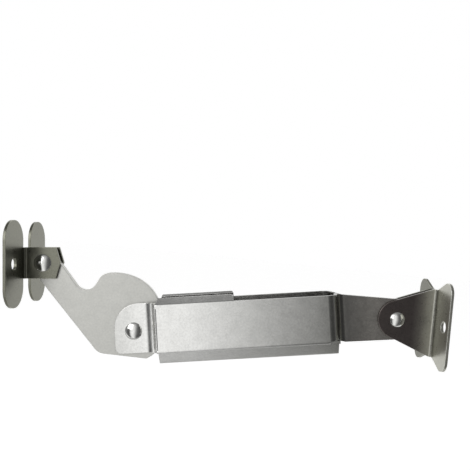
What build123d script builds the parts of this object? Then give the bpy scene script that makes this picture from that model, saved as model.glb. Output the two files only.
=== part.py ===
from build123d import *
from math import acos, atan2, cos, degrees, hypot, radians, sin
import os

# Spring-loaded lid stay: a folded steel housing holds a compression spring and a slide block
# with a roller. A cam lever turns in the housing's ears and pushes the roller back along the
# housing. Each end carries a pair of angle plates with screw wings.
#
# Millimetres. The origin is the middle of the cabinet bracket's screw row, on its mounting
# face. +X points out of that face, into the cabinet side. +Y runs across the stay and +Z up.
# The housing's own directions are "along" (from lever to tail) and "up".

# --- sheet and clearances ---
sheet = 1.5
running_gap = 0.05
side_gap = 0.25
slide_gap = 0.3
seam_gap = 0.05

# --- housing, measured along its own axis from the lever's pivot ---
housing_angle = 8.85
housing_width = 27.0
housing_height = 27.1
housing_start = 13.5
housing_end = 116.0
front_bend = 1.8
rear_bend = 6.0
front_hollow = 7.2
rear_hollow = 4.5
corner_radius = 1.7
bend_land = 0.3
relief_width = 1.3
slit = 0.3
floor_inset = 0.5

# --- floor of the housing: a flat ledge, a steep flank and the half of a flat keel ---
ledge_width = 5.2
flank_width = 3.9
keel_depth = 7.25
fold_radius = 1.9
cam_slot_end = 22.0

# --- top lips beside the cam's slot ---
lip_end = 57.8
lip_width = 4.4
lip_rise = 3.5
lip_slant = 1.8
lip_end_radius = 1.6

# --- front ear, which carries the lever's rivet ---
ear_reach = 10.9
ear_height = 28.2
ear_top_radius = 14.0
ear_bottom_radius = 3.5
lever_pivot_drop = 1.5

# --- tail, where the two shells lie together ---
tail_pivot_along = 150.4
tail_pivot_drop = 3.5
tail_start_top = 12.2
tail_bottom = 14.8
tail_radius = 11.6

# --- cam lever, measured from its pivot with the stay at rest ---
lever_thickness = 4.0
arm_length = 64.7
arm_angle = 140.0
arm_end_radius = 7.6
heel_corner = (-21.3, -11.75)
throat_corner = (-26.4, 19.4)
shoulder_corner_x = -16.1
heel_radius = 8.0
throat_radius = 6.9
shoulder_radius = 6.5
base_radius = 17.5
base_start_angle = -70.0
lever_travel = 108.0
cam_lead = 12.6
cam_steps = 12

# --- roller, pin and slide block ---
roller_radius = 5.0
roller_rest = 17.0
roller_width = 3.9
pin_radius = 1.5
block_nose = 2.4
block_length = 14.0
block_height = 20.0
block_slot_back = 5.6
spring_guide_radius = 6.0
spring_guide_length = 9.0

# --- compression spring and its seat ---
spring_radius = 9.9
wire_radius = 1.4
spring_turns = 10
seat_thickness = 1.8
seat_radius = 10.4
seat_pad_width = 14.0
seat_pad_length = 2.3

# --- rivets ---
lever_rivet_radius = 4.0
lever_rivet_head_radius = 4.9
bracket_rivet_radius = 3.5
flap_rivet_head_radius = 5.0
cabinet_rivet_head_radius = 4.4
rivet_head_height = 1.6

# --- screw brackets at both ends ---
screw_hole_radius = 3.25
plate_bend = 3.0
cabinet_plate_reach = 22.3
cabinet_wing_reach = 23.0
cabinet_screw_out = 16.5
cabinet_nose_radius = 10.8
cabinet_bend_height = 38.5
cabinet_wing_height = 54.4
cabinet_wing_radius = 6.0
cabinet_neck_radius = 8.0
flap_angle = 176.8
flap_plate_reach = 11.8
flap_wing_reach = 28.0
flap_screw_out = 17.5
flap_ear_height = 17.8
flap_ear_corner = 7.5
flap_ear_tip = 10.1
flap_wing_height = 48.0
flap_wing_radius = 11.0

# --- worked out from the sizes above ---
half_width = housing_width / 2
half_height = housing_height / 2
ear_inner = lever_thickness / 2 + side_gap
ear_outer = ear_inner + sheet
tail_inner = seam_gap
tail_outer = tail_inner + sheet
ledge_end = half_width - ledge_width
keel_half = ledge_end - flank_width
along = (cos(radians(housing_angle)), 0, sin(radians(housing_angle)))
up = (-sin(radians(housing_angle)), 0, cos(radians(housing_angle)))


def in_housing(x, z):
    """The point x along and z up in the housing's frame, in the part's own frame."""
    from_tail_x = x - tail_pivot_along
    from_tail_z = z + tail_pivot_drop
    return (
        -cabinet_plate_reach + from_tail_x * along[0] + from_tail_z * up[0],
        0,
        from_tail_x * along[2] + from_tail_z * up[2],
    )


def polar(radius, angle):
    """A point at a radius and an angle in degrees from a sketch's origin."""
    return (radius * cos(radians(angle)), radius * sin(radians(angle)))


housing_side = Plane(in_housing(0, 0), x_dir=along, z_dir=(0, -1, 0))
housing_plan = Plane(in_housing(0, 0), x_dir=along, z_dir=up)
housing_section = Plane(in_housing(0, 0), x_dir=(0, 1, 0), z_dir=along)
lever_side = Plane(in_housing(0, -lever_pivot_drop), x_dir=along, z_dir=(0, -1, 0))
lever_section = Plane(in_housing(0, -lever_pivot_drop), x_dir=(0, 1, 0), z_dir=along)
arm_end = polar(arm_length, arm_angle)
flap_pivot = in_housing(arm_end[0], arm_end[1] - lever_pivot_drop)
flap_direction = radians(flap_angle + housing_angle)
flap_out = (cos(flap_direction), 0, sin(flap_direction))
flap_across = (-sin(flap_direction), 0, cos(flap_direction))

flap_plan = Plane(flap_pivot, x_dir=flap_out, z_dir=flap_across)
flap_side = Plane(flap_pivot, x_dir=flap_out, z_dir=(0, -1, 0))
flap_section = Plane(flap_pivot, x_dir=(0, 1, 0), z_dir=flap_out)
cabinet_pivot = (-cabinet_plate_reach, 0, 0)
cabinet_plan = Plane(cabinet_pivot, x_dir=(1, 0, 0), z_dir=(0, 0, 1))
cabinet_side = Plane(cabinet_pivot, x_dir=(1, 0, 0), z_dir=(0, -1, 0))
cabinet_section = Plane(cabinet_pivot, x_dir=(0, 1, 0), z_dir=(1, 0, 0))
flap_plate_inner = lever_thickness / 2 + side_gap
cabinet_plate_inner = tail_outer + side_gap


def rivet_half_section(plane, shank_radius, head_radius, grip):
    """Half the section of a rivet with two low domed heads, for a grip on each side of the plane."""
    with BuildSketch(plane) as half_section:
        with BuildLine():
            low_dome = SagittaArc((-head_radius, -grip), (head_radius, -grip), -rivet_head_height)
            high_dome = SagittaArc((-head_radius, grip), (head_radius, grip), rivet_head_height)
            Line(low_dome @ 0, low_dome @ 1)
            Line(high_dome @ 0, high_dome @ 1)
        make_face()
        Rectangle(2 * shank_radius, 2 * grip)
        Rectangle(head_radius, 4 * grip, align=(Align.MIN, Align.CENTER), mode=Mode.INTERSECT)
    return half_section.sketch


def folded_strip(plan, tip, reach, inner, wing_reach):
    """An angle plate seen from above: the ear runs to the bend, then the wing turns outwards."""
    with BuildSketch(plan) as strip:
        with BuildLine():
            FilletPolyline((-tip, -inner), (reach, -inner), (reach, -wing_reach), radius=plate_bend)
            offset(amount=sheet, side=Side.RIGHT)
        make_face()
    return strip.sketch


def wing_outline(section, profile, radii, screw_out):
    """A screw wing seen face on: its half profile from the mid-plane out, mirrored, and its hole."""
    lower_half = [(-out, -rise) for out, rise in profile]
    upper_half = [(-out, rise) for out, rise in reversed(profile)]
    with BuildSketch(section) as wing:
        with BuildLine():
            FilletPolyline(*lower_half, *upper_half, radius=(*radii, *reversed(radii)))
            Line(upper_half[-1], lower_half[0])
        make_face()
        with Locations((-screw_out, 0)):
            Circle(screw_hole_radius, mode=Mode.SUBTRACT)
    return wing.sketch


# ---------------------------------------------------------------- front shell
floor_start = housing_start + floor_inset
floor_end = housing_end - slit
relief_start = floor_start - relief_width
ledge_top = half_height - sheet - slit
lip_top = half_height + lip_rise
rear_bend_start = housing_end - rear_bend
bend_line = half_height - corner_radius - bend_land
wall_foot = ((-half_width, -bend_line), (-half_width, -half_height))
tongue_edge = ((corner_radius - half_width, -half_height),)
tail_pivot = (tail_pivot_along, -tail_pivot_drop)
tail_start = housing_end + rear_hollow


def floor_strip(start, edge, edge_radii):
    """The floor's section, one fold after another: its outer edge, ledge, flank and half keel."""
    with BuildSketch(housing_section.offset(start)) as strip:
        with BuildLine():
            FilletPolyline(
                *edge,
                (-ledge_end, -half_height),
                (-keel_half, -half_height - keel_depth),
                (-seam_gap, -half_height - keel_depth),
                radius=(*edge_radii, fold_radius - sheet, fold_radius),
            )
            offset(amount=sheet, side=Side.LEFT)
        make_face()
    return strip.sketch


with BuildPart() as front_shell:
    # The wall seen from above, with a double bend at each end down to the ear and the tail.
    with BuildSketch(housing_plan):
        with BuildLine():
            FilletPolyline(
                (-ear_reach, -ear_outer),
                (housing_start, -ear_outer),
                (housing_start, -half_width),
                (housing_end, -half_width),
                (housing_end, -tail_outer),
                (tail_pivot_along + tail_radius, -tail_outer),
                radius=(front_hollow, front_bend, rear_bend, rear_hollow),
            )
            offset(amount=sheet, side=Side.LEFT)
        make_face()
    extrude(amount=ear_height, both=True)
    # The same wall seen from the side: ear, wall and tapering tail.
    with BuildSketch(housing_side):
        with BuildLine():
            tail_end = CenterArc(tail_pivot, tail_radius, -90, 180)
            FilletPolyline(
                tail_end @ 0,
                (tail_start, -tail_bottom),
                (housing_end, -half_height),
                (housing_end, -ledge_top),
                (rear_bend_start, -ledge_top),
                (rear_bend_start, -bend_line),
                (relief_start, -bend_line),
                (relief_start, -ear_height / 2),
                (-ear_reach, -ear_height / 2),
                (-ear_reach, ear_height / 2),
                (floor_start, ear_height / 2),
                (floor_start, half_height),
                (housing_end, half_height),
                (tail_start, tail_start_top),
                tail_end @ 1,
                radius=(0, 0, 0, 0, 0, 0, 0, ear_bottom_radius, ear_top_radius, 0, 0, 0, 0),
            )
        make_face()
    extrude(amount=housing_width, both=True, mode=Mode.INTERSECT)
    # The floor hangs on the wall's bottom fold, and runs on under the rear bend as a free tongue.
    extrude(floor_strip(floor_start, wall_foot, (corner_radius,)), amount=rear_bend_start - floor_start)
    extrude(floor_strip(rear_bend_start, tongue_edge, ()), amount=floor_end - rear_bend_start)
    # The cam dips through a slot in the keel when the lever is folded.
    with BuildSketch(housing_plan):
        with Locations((floor_start, 0)):
            Rectangle(cam_slot_end - ear_inner - floor_start, 2 * ear_inner, align=(Align.MIN, Align.CENTER))
        with Locations((cam_slot_end - ear_inner, 0)):
            Circle(ear_inner)
    extrude(amount=-half_height - keel_depth, mode=Mode.SUBTRACT)
    # The lip leans in over the spring beside the cam's slot.
    with BuildSketch(housing_section.offset(floor_start)):
        with BuildLine():
            FilletPolyline(
                (-half_width + lip_width, lip_top),
                (-half_width, half_height),
                (-half_width, bend_line),
                radius=corner_radius,
            )
            offset(amount=sheet, side=Side.LEFT)
        make_face()
    extrude(amount=lip_end - floor_start)
    # Its front end is cut back on a slant and its rear corner is rounded.
    with BuildSketch(housing_side):
        Polygon(
            (floor_start, half_height),
            (floor_start, lip_top),
            (floor_start + lip_slant, lip_top),
            align=None,
        )
        with Locations((lip_end, lip_top)):
            Rectangle(lip_end_radius, lip_end_radius, align=(Align.MAX, Align.MAX))
        with Locations((lip_end - lip_end_radius, lip_top - lip_end_radius)):
            Circle(lip_end_radius, mode=Mode.SUBTRACT)
    extrude(amount=housing_width, both=True, mode=Mode.SUBTRACT)
    with BuildSketch(lever_side):
        Circle(lever_rivet_radius + running_gap)
    extrude(amount=housing_width, both=True, mode=Mode.SUBTRACT)
    with BuildSketch(housing_side):
        with Locations(tail_pivot):
            Circle(bracket_rivet_radius + running_gap)
    extrude(amount=housing_width, both=True, mode=Mode.SUBTRACT)

# ---------------------------------------------------------------- rear shell
with BuildPart() as rear_shell:
    mirror(front_shell.part, about=Plane.XZ)

# ---------------------------------------------------------------- cam lever
# The roller's centre moves out by the same length for each degree the lever turns, so the
# cam's edge is that spiral, moved in by the roller's radius.
notch_radius = roller_radius + running_gap


def cam_point(turn):
    """Where the cam's edge meets the roller when the lever has turned so many radians."""
    spiral = roller_rest + cam_lead * turn
    slope = hypot(spiral, cam_lead)
    inward = -notch_radius * spiral / slope
    onward = notch_radius * cam_lead / slope
    return (
        (spiral + inward) * cos(turn) - onward * sin(turn),
        (spiral + inward) * sin(turn) + onward * cos(turn),
    )


cam_edge = [cam_point(radians(lever_travel) * step / cam_steps) for step in range(cam_steps + 1)]
notch_end_x = (base_radius**2 + roller_rest**2 - notch_radius**2) / (2 * roller_rest)
notch_end = (notch_end_x, -((base_radius**2 - notch_end_x**2) ** 0.5))
base_start = polar(base_radius, base_start_angle)



def arm_tangent(corner, side):
    """The angle on the arm's rounded end where the straight edge from a corner meets it."""
    away_x = corner[0] - arm_end[0]
    away_z = corner[1] - arm_end[1]
    swing = acos(arm_end_radius / hypot(away_x, away_z))
    return degrees(atan2(away_z, away_x) + side * swing)


back_angle = arm_tangent(throat_corner, 1)
belly_angle = arm_tangent(heel_corner, -1) + 360

with BuildPart() as cam_lever:
    with BuildSketch(lever_side):
        with BuildLine():
            arm_round = CenterArc(arm_end, arm_end_radius, back_angle, belly_angle - back_angle)
            FilletPolyline(
                cam_edge[-1],
                (shoulder_corner_x, cam_edge[-1][1]),
                throat_corner,
                arm_round @ 0,
                radius=(shoulder_radius, throat_radius),
            )
            FilletPolyline(arm_round @ 1, heel_corner, base_start, radius=heel_radius)
            ThreePointArc(base_start, polar(base_radius, base_start_angle / 2), notch_end)
            ThreePointArc(notch_end, (roller_rest - notch_radius, 0), cam_edge[0])
            Spline(*cam_edge)
        make_face()
        Circle(lever_rivet_radius + running_gap, mode=Mode.SUBTRACT)
        with Locations(arm_end):
            Circle(bracket_rivet_radius + running_gap, mode=Mode.SUBTRACT)
    extrude(amount=lever_thickness / 2, both=True)

# ---------------------------------------------------------------- slide block, pin and roller
block_half_width = half_width - sheet - slide_gap
nose_half_width = block_half_width - front_hollow + block_nose
roller_side = Plane(in_housing(roller_rest, -lever_pivot_drop), x_dir=along, z_dir=(0, -1, 0))
block_back = block_length - block_nose

with BuildPart() as slide_block:
    with BuildSketch(lever_section.offset(roller_rest + pin_radius)):
        RectangleRounded(2 * block_half_width, block_height, corner_radius)
    extrude(amount=block_back - pin_radius)
    with BuildSketch(lever_section.offset(roller_rest - block_nose)):
        RectangleRounded(2 * nose_half_width, block_height - 2 * block_nose, corner_radius)
    extrude(amount=block_nose + pin_radius)
    with BuildSketch(lever_section.offset(roller_rest - block_nose)):
        Rectangle(2 * ear_inner, block_height)
    extrude(amount=block_nose + block_slot_back, mode=Mode.SUBTRACT)
    with BuildSketch(lever_section.offset(roller_rest + block_back)):
        Circle(spring_guide_radius)
    extrude(amount=spring_guide_length)
    with BuildSketch(roller_side):
        Circle(pin_radius + running_gap)
    extrude(amount=nose_half_width, both=True, mode=Mode.SUBTRACT)

with BuildPart() as roller_pin:
    with BuildSketch(roller_side):
        Circle(pin_radius)
    extrude(amount=nose_half_width, both=True)

with BuildPart() as cam_roller:
    with BuildSketch(roller_side):
        Circle(roller_radius)
        Circle(pin_radius + running_gap, mode=Mode.SUBTRACT)
    extrude(amount=roller_width / 2, both=True)

# ---------------------------------------------------------------- spring and its seat
spring_start = roller_rest + block_back
pad_start = housing_end - sheet - seat_pad_length
seat_start = pad_start - seat_thickness
coil_length = seat_start - spring_start - 2 * wire_radius - 2 * running_gap
coil_plane = lever_section.offset(spring_start + wire_radius + running_gap)
coil_radius = spring_radius - wire_radius

with BuildPart() as spring_seat:
    with BuildSketch(lever_section.offset(seat_start)):
        Circle(seat_radius)
    extrude(amount=seat_thickness)
    with BuildSketch(lever_section.offset(pad_start)):
        Rectangle(seat_pad_width, seat_radius)
    extrude(amount=seat_pad_length)
    with BuildSketch(lever_section.offset(seat_start)):
        Circle(spring_guide_radius)
    extrude(amount=-spring_guide_length)

with BuildPart() as main_spring:
    with BuildLine():
        coil = Helix(
            pitch=coil_length / spring_turns,
            height=coil_length,
            radius=coil_radius,
            center=coil_plane.origin,
            direction=along,
        )
    with BuildSketch(Plane(coil @ 0, z_dir=coil % 0)):
        Circle(wire_radius)
    sweep(is_frenet=True)

# ---------------------------------------------------------------- rivets
lever_rivet_plane = Plane(in_housing(0, -lever_pivot_drop), x_dir=along, z_dir=up)
lever_rivet_axis = Axis(lever_rivet_plane.origin, (0, 1, 0))
flap_rivet_axis = Axis(flap_pivot, (0, 1, 0))
cabinet_rivet_axis = Axis(cabinet_pivot, (0, 1, 0))
flap_grip = flap_plate_inner + sheet
cabinet_grip = cabinet_plate_inner + sheet

with BuildPart() as lever_rivet:
    revolve(
        rivet_half_section(lever_rivet_plane, lever_rivet_radius, lever_rivet_head_radius, ear_outer),
        axis=lever_rivet_axis,
    )

with BuildPart() as flap_rivet:
    revolve(
        rivet_half_section(flap_plan, bracket_rivet_radius, flap_rivet_head_radius, flap_grip),
        axis=flap_rivet_axis,
    )

with BuildPart() as cabinet_rivet:
    revolve(
        rivet_half_section(cabinet_plan, bracket_rivet_radius, cabinet_rivet_head_radius, cabinet_grip),
        axis=cabinet_rivet_axis,
    )

# ---------------------------------------------------------------- cabinet bracket
cabinet_neck = cabinet_plate_inner + plate_bend

with BuildPart() as cabinet_plate_front:
    extrude(
        folded_strip(
            cabinet_plan,
            cabinet_nose_radius,
            cabinet_plate_reach,
            cabinet_plate_inner,
            cabinet_wing_reach,
        ),
        amount=cabinet_wing_height / 2,
        both=True,
    )
    with BuildSketch(cabinet_side):
        Circle(cabinet_nose_radius)
        with Locations((cabinet_plate_reach, 0)):
            Rectangle(plate_bend, cabinet_bend_height, align=(Align.MAX, Align.CENTER))
        make_hull()
        with Locations((cabinet_plate_reach, 0)):
            Rectangle(sheet, cabinet_wing_height, align=(Align.MAX, Align.CENTER))
        Circle(bracket_rivet_radius + running_gap, mode=Mode.SUBTRACT)
    extrude(amount=cabinet_wing_reach, mode=Mode.INTERSECT)
    extrude(
        wing_outline(
            cabinet_section,
            (
                (0, cabinet_bend_height / 2),
                (cabinet_neck, cabinet_bend_height / 2),
                (cabinet_wing_reach, cabinet_wing_height / 2),
            ),
            (cabinet_neck_radius, cabinet_wing_radius),
            cabinet_screw_out,
        ),
        amount=cabinet_plate_reach,
        both=True,
        mode=Mode.INTERSECT,
    )

with BuildPart() as cabinet_plate_rear:
    mirror(cabinet_plate_front.part, about=Plane.XZ)

# ---------------------------------------------------------------- flap bracket
flap_neck = flap_plate_inner + plate_bend

with BuildPart() as flap_plate_front:
    extrude(
        folded_strip(flap_plan, flap_ear_tip, flap_plate_reach, flap_plate_inner, flap_wing_reach),
        amount=flap_wing_height / 2,
        both=True,
    )
    with BuildSketch(flap_side):
        Polygon(
            (flap_plate_reach, -flap_ear_height / 2),
            (flap_plate_reach, flap_ear_height / 2),
            (-flap_ear_corner, flap_ear_height / 2),
            (-flap_ear_tip, 0),
            (-flap_ear_corner, -flap_ear_height / 2),
            align=None,
        )
        with Locations((flap_plate_reach, 0)):
            Rectangle(sheet, flap_wing_height, align=(Align.MAX, Align.CENTER))
        Circle(bracket_rivet_radius + running_gap, mode=Mode.SUBTRACT)
    extrude(amount=flap_wing_reach, mode=Mode.INTERSECT)
    extrude(
        wing_outline(
            flap_section,
            (
                (0, flap_ear_height / 2),
                (flap_neck, flap_ear_height / 2),
                (flap_neck, flap_wing_height / 2),
                (flap_wing_reach, flap_wing_height / 2),
            ),
            (0, flap_wing_radius, flap_wing_radius),
            flap_screw_out,
        ),
        amount=flap_plate_reach,
        both=True,
        mode=Mode.INTERSECT,
    )

with BuildPart() as flap_plate_rear:
    mirror(flap_plate_front.part, about=Plane.XZ)

# ---------------------------------------------------------------- the pieces, one file each
pieces = {
    "front_shell": front_shell,
    "rear_shell": rear_shell,
    "cam_lever": cam_lever,
    "slide_block": slide_block,
    "roller_pin": roller_pin,
    "cam_roller": cam_roller,
    "main_spring": main_spring,
    "spring_seat": spring_seat,
    "lever_rivet": lever_rivet,
    "flap_rivet": flap_rivet,
    "cabinet_rivet": cabinet_rivet,
    "cabinet_plate_front": cabinet_plate_front,
    "cabinet_plate_rear": cabinet_plate_rear,
    "flap_plate_front": flap_plate_front,
    "flap_plate_rear": flap_plate_rear,
}

os.makedirs("parts", exist_ok=True)
for name, piece in pieces.items():
    piece.part.label = name
    export_step(piece.part, f"parts/{name}.step")
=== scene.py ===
from math import radians

import bpy
from mathutils import Matrix, Vector


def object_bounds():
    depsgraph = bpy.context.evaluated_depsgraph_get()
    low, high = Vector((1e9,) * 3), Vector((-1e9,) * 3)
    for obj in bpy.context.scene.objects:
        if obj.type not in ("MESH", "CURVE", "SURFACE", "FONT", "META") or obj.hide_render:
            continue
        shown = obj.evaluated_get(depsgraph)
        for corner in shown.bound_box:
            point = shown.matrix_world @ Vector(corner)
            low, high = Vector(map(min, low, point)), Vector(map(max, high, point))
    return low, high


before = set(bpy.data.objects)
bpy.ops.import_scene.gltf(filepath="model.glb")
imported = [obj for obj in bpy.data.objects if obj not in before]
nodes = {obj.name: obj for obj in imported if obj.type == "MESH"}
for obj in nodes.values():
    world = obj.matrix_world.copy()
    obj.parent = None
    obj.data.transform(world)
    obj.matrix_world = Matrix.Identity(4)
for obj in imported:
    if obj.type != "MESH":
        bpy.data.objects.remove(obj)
cad_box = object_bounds()
mm = 0.001

# ---------------------------------------------------------------- studio camera
# The stay is looked at square on to its side, from a little over a forearm's length away,
# by a normal lens. The camera leans a few degrees, so the cabinet end sits slightly lower.
camera_lean = radians(-5.65)
camera_place = Vector((-119.0, -296.2, 37.2)) * mm
camera_data = bpy.data.cameras.new("studio_camera")
camera_data.sensor_width = 36.0
camera_data.lens = 39.37
camera_data.shift_y = 0.0064
camera_data.clip_start = 0.01
camera = bpy.data.objects.new("studio_camera", camera_data)
camera.matrix_world = (
    Matrix.Translation(camera_place)
    @ Matrix.Rotation(camera_lean, 4, "Y")
    @ Matrix.Rotation(radians(90), 4, "X")
)
bpy.context.scene.collection.objects.link(camera)
bpy.context.scene.camera = camera
bpy.context.scene.view_settings.view_transform = "Standard"

# ---------------------------------------------------------------- studio room
# White paper stands behind and under the stay. On the camera's side the room falls off from a
# bright window side on the left to an unlit side on the right, which the bare metal shows.
ceiling_tone = 0.25
white = 1.0
room = bpy.data.worlds.new("studio_room")
bpy.context.scene.world = room
room.use_nodes = True
room_tree = room.node_tree
room_tree.nodes.clear()


def add_node(tree, kind, inputs=(), **settings):
    """Adds a node to a tree, sets its fields and fills or links its inputs."""
    node = tree.nodes.new(kind)
    for name, value in settings.items():
        setattr(node, name, value)
    for key, value in dict(inputs).items():
        socket = node.inputs[key]
        if isinstance(value, bpy.types.NodeSocket):
            tree.links.new(value, socket)
        else:
            socket.default_value = value
    return node


def ramp_node(tree, fac, stops, interpolation="EASE"):
    """A colour ramp through the given (place, grey or colour) stops."""
    node = add_node(tree, "ShaderNodeValToRGB", {"Fac": fac})
    node.color_ramp.interpolation = interpolation
    elements = node.color_ramp.elements
    while len(elements) < len(stops):
        elements.new(1.0)
    for element, (place, tone) in zip(elements, stops):
        element.position = place
        element.color = (tone, tone, tone, 1) if isinstance(tone, float) else (*tone, 1)
    return node.outputs["Color"]


def mix_colours(tree, share, first, second):
    """Mixes two colours, given as sockets or greys, by a share of the second."""
    node = add_node(tree, "ShaderNodeMix", data_type="RGBA")
    for name, value in (("Factor", share), ("A", first), ("B", second)):
        socket = next(s for s in node.inputs if s.name == name and s.enabled)
        if isinstance(value, bpy.types.NodeSocket):
            tree.links.new(value, socket)
        else:
            socket.default_value = (value, value, value, 1)
    return next(s for s in node.outputs if s.enabled)


def number_node(tree, operation, *values):
    """A Math node on the given numbers or sockets."""
    return add_node(tree, "ShaderNodeMath", enumerate(values), operation=operation).outputs[0]


direction = add_node(room_tree, "ShaderNodeTexCoord").outputs["Generated"]
level = add_node(
    room_tree, "ShaderNodeVectorMath", {0: direction, 1: (1, 1, 0)}, operation="MULTIPLY"
).outputs["Vector"]
heading = add_node(
    room_tree, "ShaderNodeVectorMath", {0: level}, operation="NORMALIZE"
).outputs["Vector"]
heading_axes = add_node(room_tree, "ShaderNodeSeparateXYZ", {"Vector": heading}).outputs
rise = add_node(room_tree, "ShaderNodeSeparateXYZ", {"Vector": direction}).outputs["Z"]
# From the far left of the camera's side, past the window, to the far right.
room_side = ramp_node(
    room_tree,
    number_node(room_tree, "MULTIPLY_ADD", heading_axes["X"], 0.5, 0.5),
    [
        (0.0, 0.4),
        (0.08, 0.1),
        (0.17, 0.12),
        (0.24, 0.9),
        (0.33, 1.15),
        (0.43, 1.1),
        (0.5, 0.86),
        (0.56, 0.6),
        (0.61, 0.38),
        (0.65, 0.26),
        (0.72, 0.12),
        (0.85, 0.1),
        (0.95, 0.12),
        (1.0, 0.4),
    ],
    "LINEAR",
)
ceiling_share = ramp_node(room_tree, rise, [(0.45, 0.0), (0.9, 1.0)])
room_and_ceiling = mix_colours(room_tree, ceiling_share, room_side, ceiling_tone)
paper_share = ramp_node(
    room_tree,
    number_node(room_tree, "MULTIPLY_ADD", heading_axes["Y"], 0.5, 0.5),
    [(0.5, 0.0), (0.6, 1.0)],
)
low_share = ramp_node(room_tree, rise, [(0.5, 1.0), (0.9, 0.0)])
room_colour = mix_colours(
    room_tree,
    number_node(room_tree, "MULTIPLY", paper_share, low_share),
    room_and_ceiling,
    white,
)
room_rays = add_node(room_tree, "ShaderNodeLightPath").outputs
seen_colour = mix_colours(room_tree, room_rays["Is Camera Ray"], room_colour, white)
backdrop = add_node(room_tree, "ShaderNodeBackground", {"Color": seen_colour})
add_node(room_tree, "ShaderNodeOutputWorld", {"Surface": backdrop.outputs["Background"]})

# ---------------------------------------------------------------- studio floor
# A wide sheet of white paper lies well under and behind the stay and ends a little in front
# of it, so that only a soft shadow falls on it. Its glow brings the lit paper up to white.
floor_size = 8.0
floor_drop = 0.24
floor_front = 0.12
paper_tone = 0.8
paper_glow_seen = 0.62
bpy.ops.mesh.primitive_plane_add(size=floor_size)
floor = bpy.context.object
floor.name = "paper_floor"
floor.location = (camera_place.x, floor_size / 2 - floor_front, cad_box[0][2] - floor_drop)
paper = bpy.data.materials.new("white_paper")
paper.use_nodes = True
paper_tree = paper.node_tree
paper_tree.nodes.clear()
paper_shade = add_node(
    paper_tree, "ShaderNodeBsdfDiffuse", {"Color": (paper_tone, paper_tone, paper_tone, 1)}
)
paper_rays = add_node(paper_tree, "ShaderNodeLightPath").outputs
paper_place = add_node(paper_tree, "ShaderNodeTexCoord").outputs["Object"]
from_stay = add_node(
    paper_tree,
    "ShaderNodeVectorMath",
    {0: paper_place, 1: (0, floor_front - floor_size / 2, 0)},
    operation="DISTANCE",
).outputs["Value"]
# Seen in the metal, the paper glows only away from the stay: a painted shade under the stay.
glow_past_painted_shade = ramp_node(paper_tree, from_stay, [(0.05, 0.0), (0.5, 0.6)])
mirrored_rays = number_node(
    paper_tree, "MAXIMUM", paper_rays["Is Glossy Ray"], paper_rays["Is Transmission Ray"]
)
paper_seen = number_node(
    paper_tree,
    "MULTIPLY_ADD",
    paper_rays["Is Camera Ray"],
    paper_glow_seen,
    number_node(paper_tree, "MULTIPLY", mirrored_rays, glow_past_painted_shade),
)
paper_glow = add_node(paper_tree, "ShaderNodeEmission", {"Strength": paper_seen})
paper_sum = add_node(paper_tree, "ShaderNodeAddShader")
paper_tree.links.new(paper_shade.outputs["BSDF"], paper_sum.inputs[0])
paper_tree.links.new(paper_glow.outputs["Emission"], paper_sum.inputs[1])
add_node(paper_tree, "ShaderNodeOutputMaterial", {"Surface": paper_sum.outputs["Shader"]})
floor.data.materials.append(paper)

# ---------------------------------------------------------------- soft lamps
# One broad lamp stands at the window side and a weaker one hangs above and behind. They only
# lift the metal that faces them.
lamp_size = 0.7
for lamp_name, lamp_place, lamp_power in (
    ("window_lamp", (-0.75, -0.65, 0.35), 2.5),
    ("overhead_lamp", (-0.1, 0.5, 0.9), 0.8),
):
    lamp_data = bpy.data.lights.new(lamp_name, "AREA")
    lamp_data.size = lamp_size
    lamp_data.energy = lamp_power
    lamp = bpy.data.objects.new(lamp_name, lamp_data)
    lamp.location = lamp_place
    aim = Vector((camera_place.x, 0, 0)) - lamp.location
    lamp.rotation_euler = aim.to_track_quat("-Z", "Y").to_euler()
    bpy.context.scene.collection.objects.link(lamp)

# ---------------------------------------------------------------- plating
# Every piece is steel with a thin nickel plate. The plate is cloudy from one place to the
# next, has a fine grain, and is brighter along the cut edges: there the plate is worn thin,
# and a painted highlight is added.
painted_shade_reach = 2.5 * mm
gloss_spread = 0.12
grain_depth = 0.02 * mm
plating = bpy.data.node_groups.new("nickel_plating", "ShaderNodeTree")
for socket_name, socket_kind, default in (
    ("Tone", "NodeSocketColor", (0.55, 0.55, 0.53, 1)),
    ("Cloudiness", "NodeSocketFloat", 0.35),
    ("Cloud Size", "NodeSocketFloat", 160.0),
    ("Grain Size", "NodeSocketFloat", 900.0),
    ("Gloss", "NodeSocketFloat", 0.35),
    ("Edge Brightness", "NodeSocketFloat", 0.3),
    ("Edge Width", "NodeSocketFloat", 0.4 * mm),
    ("Recess Tone", "NodeSocketFloat", 0.55),
):
    socket = plating.interface.new_socket(socket_name, in_out="INPUT", socket_type=socket_kind)
    socket.default_value = default
for socket_name, socket_kind in (
    ("Color", "NodeSocketColor"),
    ("Roughness", "NodeSocketFloat"),
    ("Height", "NodeSocketFloat"),
    ("Normal", "NodeSocketVector"),
):
    plating.interface.new_socket(socket_name, in_out="OUTPUT", socket_type=socket_kind)
plating_in = add_node(plating, "NodeGroupInput").outputs
place = add_node(plating, "ShaderNodeTexCoord").outputs["Object"]
clouds = add_node(
    plating,
    "ShaderNodeTexNoise",
    {"Vector": place, "Scale": plating_in["Cloud Size"], "Detail": 4.0, "Roughness": 0.65},
).outputs["Fac"]
grain = add_node(
    plating,
    "ShaderNodeTexNoise",
    {"Vector": place, "Scale": plating_in["Grain Size"], "Detail": 2.0},
).outputs["Fac"]
mottle = number_node(plating, "SUBTRACT", number_node(plating, "ADD", clouds, grain), 1.0)
cloud_gain = number_node(plating, "MULTIPLY_ADD", mottle, plating_in["Cloudiness"], 1.0)
true_normal = add_node(plating, "ShaderNodeNewGeometry").outputs["Normal"]
worn_normal = add_node(
    plating, "ShaderNodeBevel", {"Radius": plating_in["Edge Width"]}, samples=8
).outputs["Normal"]
squareness = add_node(
    plating, "ShaderNodeVectorMath", {0: true_normal, 1: worn_normal}, operation="DOT_PRODUCT"
).outputs["Value"]
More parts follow.
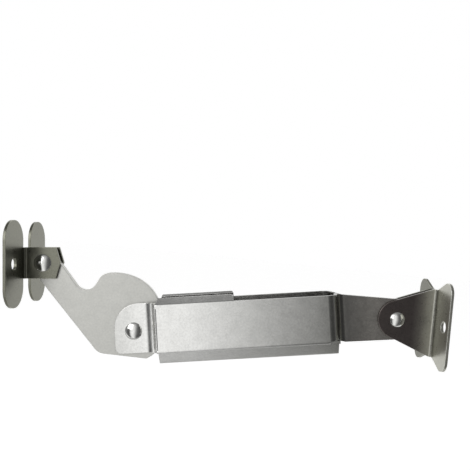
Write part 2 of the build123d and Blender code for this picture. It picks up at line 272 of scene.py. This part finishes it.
# Along the cut edges the tone is lifted: worn thin plate and a painted highlight.
edge = add_node(
    plating, "ShaderNodeMapRange", {"Value": squareness, "From Min": 0.995, "From Max": 0.85}
).outputs["Result"]
# Ambient occlusion darkens the tone in recesses and between parts: painted shade.
openness = add_node(
    plating, "ShaderNodeAmbientOcclusion", {"Distance": painted_shade_reach}, samples=8
).outputs["AO"]
recess = add_node(
    plating,
    "ShaderNodeMapRange",
    {"Value": openness, "From Max": 0.8, "To Min": plating_in["Recess Tone"]},
).outputs["Result"]
edge_wear_and_highlight_gain = number_node(plating, "MULTIPLY_ADD", edge, plating_in["Edge Brightness"], 1.0)
full_gain = number_node(
    plating, "MULTIPLY", number_node(plating, "MULTIPLY", cloud_gain, edge_wear_and_highlight_gain), recess
)
colour = add_node(
    plating, "ShaderNodeVectorMath", {0: plating_in["Tone"], "Scale": full_gain}, operation="SCALE"
).outputs["Vector"]
gloss = number_node(plating, "MULTIPLY_ADD", mottle, gloss_spread, plating_in["Gloss"])
add_node(
    plating,
    "NodeGroupOutput",
    {"Color": colour, "Roughness": gloss, "Height": grain, "Normal": worn_normal},
)


def plated_steel(name, tone, gloss, bump, **values):
    """A material of plated steel: its tone, how blurred its reflections are and its grain."""
    material = bpy.data.materials.new(name)
    material.use_nodes = True
    tree = material.node_tree
    tree.nodes.clear()
    finish = tree.nodes.new("ShaderNodeGroup")
    finish.name = "finish"
    finish.node_tree = plating
    finish.inputs["Tone"].default_value = (*tone, 1)
    finish.inputs["Gloss"].default_value = gloss
    for value_name, value in values.items():
        finish.inputs[value_name.replace("_", " ").title()].default_value = value
    grain_bump = add_node(
        tree,
        "ShaderNodeBump",
        {
            "Height": finish.outputs["Height"],
            "Normal": finish.outputs["Normal"],
            "Strength": bump,
            "Distance": grain_depth,
        },
    )
    metal = add_node(
        tree,
        "ShaderNodeBsdfPrincipled",
        {
            "Base Color": finish.outputs["Color"],
            "Roughness": finish.outputs["Roughness"],
            "Normal": grain_bump.outputs["Normal"],
            "Metallic": 1.0,
        },
    )
    add_node(tree, "ShaderNodeOutputMaterial", {"Surface": metal.outputs["BSDF"]})
    return material


def dress(material, slot, *names):
    """Puts a material on CAD nodes. Its slot argument is not used."""
    for name in names:
        piece = nodes[name]
        piece.data.materials.clear()
        piece.data.materials.append(material)


def shade_along(material, direction, stops):
    """Lets a material's tone change with the distance in metres along a direction."""
    tree = material.node_tree
    spot = add_node(tree, "ShaderNodeTexCoord").outputs["Object"]
    reach = add_node(
        tree, "ShaderNodeVectorMath", {0: spot, 1: direction}, operation="DOT_PRODUCT"
    ).outputs["Value"]
    first, last = stops[0][0], stops[-1][0]
    share = add_node(
        tree, "ShaderNodeMapRange", {"Value": reach, "From Min": first, "From Max": last}
    ).outputs["Result"]
    shares = [((spot - first) / (last - first), tone) for spot, tone in stops]
    tree.links.new(ramp_node(tree, share, shares, "LINEAR"), tree.nodes["finish"].inputs["Tone"])


# ---------------------------------------------------------------- housing
# Two folded shells of sheet steel, mirror images of each other, hold the spring between them.
# Their plate is a bright satin nickel. The tones below darken it towards the tail, mostly in
# place of the reflection of an uneven room, so they belong to this lighting.
# The shells' recesses get a deeper painted shade.
shell_nickel = plated_steel("shell_nickel", (0.7, 0.7, 0.68), 0.22, 0.2, recess_tone=0.4)
housing_along = (0.98809, 0, 0.15385)
shade_along(
    shell_nickel,
    housing_along,
    [
        (-0.185, (0.62, 0.62, 0.60)),
        (-0.166, (0.77, 0.77, 0.75)),
        (-0.140, (0.80, 0.80, 0.78)),
        (-0.113, (0.67, 0.67, 0.65)),
        (-0.088, (0.54, 0.54, 0.52)),
        (-0.070, (0.45, 0.45, 0.43)),
        (-0.059, (0.33, 0.33, 0.31)),
        (-0.050, (0.18, 0.175, 0.165)),
        (-0.036, (0.34, 0.325, 0.30)),
        (-0.010, (0.38, 0.355, 0.335)),
    ],
)
dress(shell_nickel, "housing_plate", "front_shell", "rear_shell")

# ---------------------------------------------------------------- cam lever
# A thick blanked plate. Its faces keep the dull grain of the strip that it was cut from.
lever_nickel = plated_steel("lever_nickel", (0.575, 0.575, 0.545), 0.42, 0.4, cloudiness=0.3)
dress(lever_nickel, "lever_plate", "cam_lever")

# ---------------------------------------------------------------- flap bracket
# Two bent angle plates with screw wings, riveted to the lever's end. Their plate is a warm
# olive grey.
# Its edges are brightened strongly, partly as a painted highlight.
flap_nickel = plated_steel("flap_nickel", (0.19, 0.19, 0.155), 0.3, 0.2, edge_brightness=1.6)
dress(flap_nickel, "bracket_plate", "flap_plate_front", "flap_plate_rear")

# ---------------------------------------------------------------- cabinet bracket
# Two wider angle plates with screw wings, riveted to the tail. Both are plated alike: the
# tones below stand for an uneven room on the front plate and for white paper on the rear one.
# Its edges are brightened strongly, partly as a painted highlight.
cabinet_nickel = plated_steel("cabinet_nickel", (0.3, 0.3, 0.27), 0.3, 0.2, edge_brightness=1.6)
shade_along(
    cabinet_nickel,
    (1, 0, 0),
    [
        (-0.034, (0.105, 0.09, 0.085)),
        (-0.014, (0.105, 0.092, 0.088)),
        (-0.009, (0.18, 0.17, 0.155)),
        (-0.004, (0.34, 0.335, 0.3)),
        (0.0, (0.5, 0.5, 0.44)),
    ],
)
dress(cabinet_nickel, "bracket_plate", "cabinet_plate_front")
# Its edges are brightened strongly, partly as a painted highlight.
rear_nickel = plated_steel("rear_nickel", (0.175, 0.175, 0.145), 0.3, 0.2, edge_brightness=1.6)
dress(rear_nickel, "bracket_plate", "cabinet_plate_rear")

# ---------------------------------------------------------------- rivets
# Three rivets, each closed with a polished, low domed head.
rivet_nickel = plated_steel("rivet_nickel", (0.72, 0.72, 0.7), 0.14, 0.05)
dress(rivet_nickel, "rivet_steel", "lever_rivet", "flap_rivet", "cabinet_rivet")

# ---------------------------------------------------------------- slide block and spring
# The block with its roller and pin, and the wound spring with its seat, are bare oiled steel.
slider_steel = plated_steel("slider_steel", (0.35, 0.34, 0.33), 0.4, 0.3)
dress(slider_steel, "slider_steel", "slide_block", "roller_pin", "cam_roller", "spring_seat")
spring_steel = plated_steel("spring_steel", (0.3, 0.3, 0.31), 0.3, 0.1)
dress(spring_steel, "spring_steel", "main_spring")
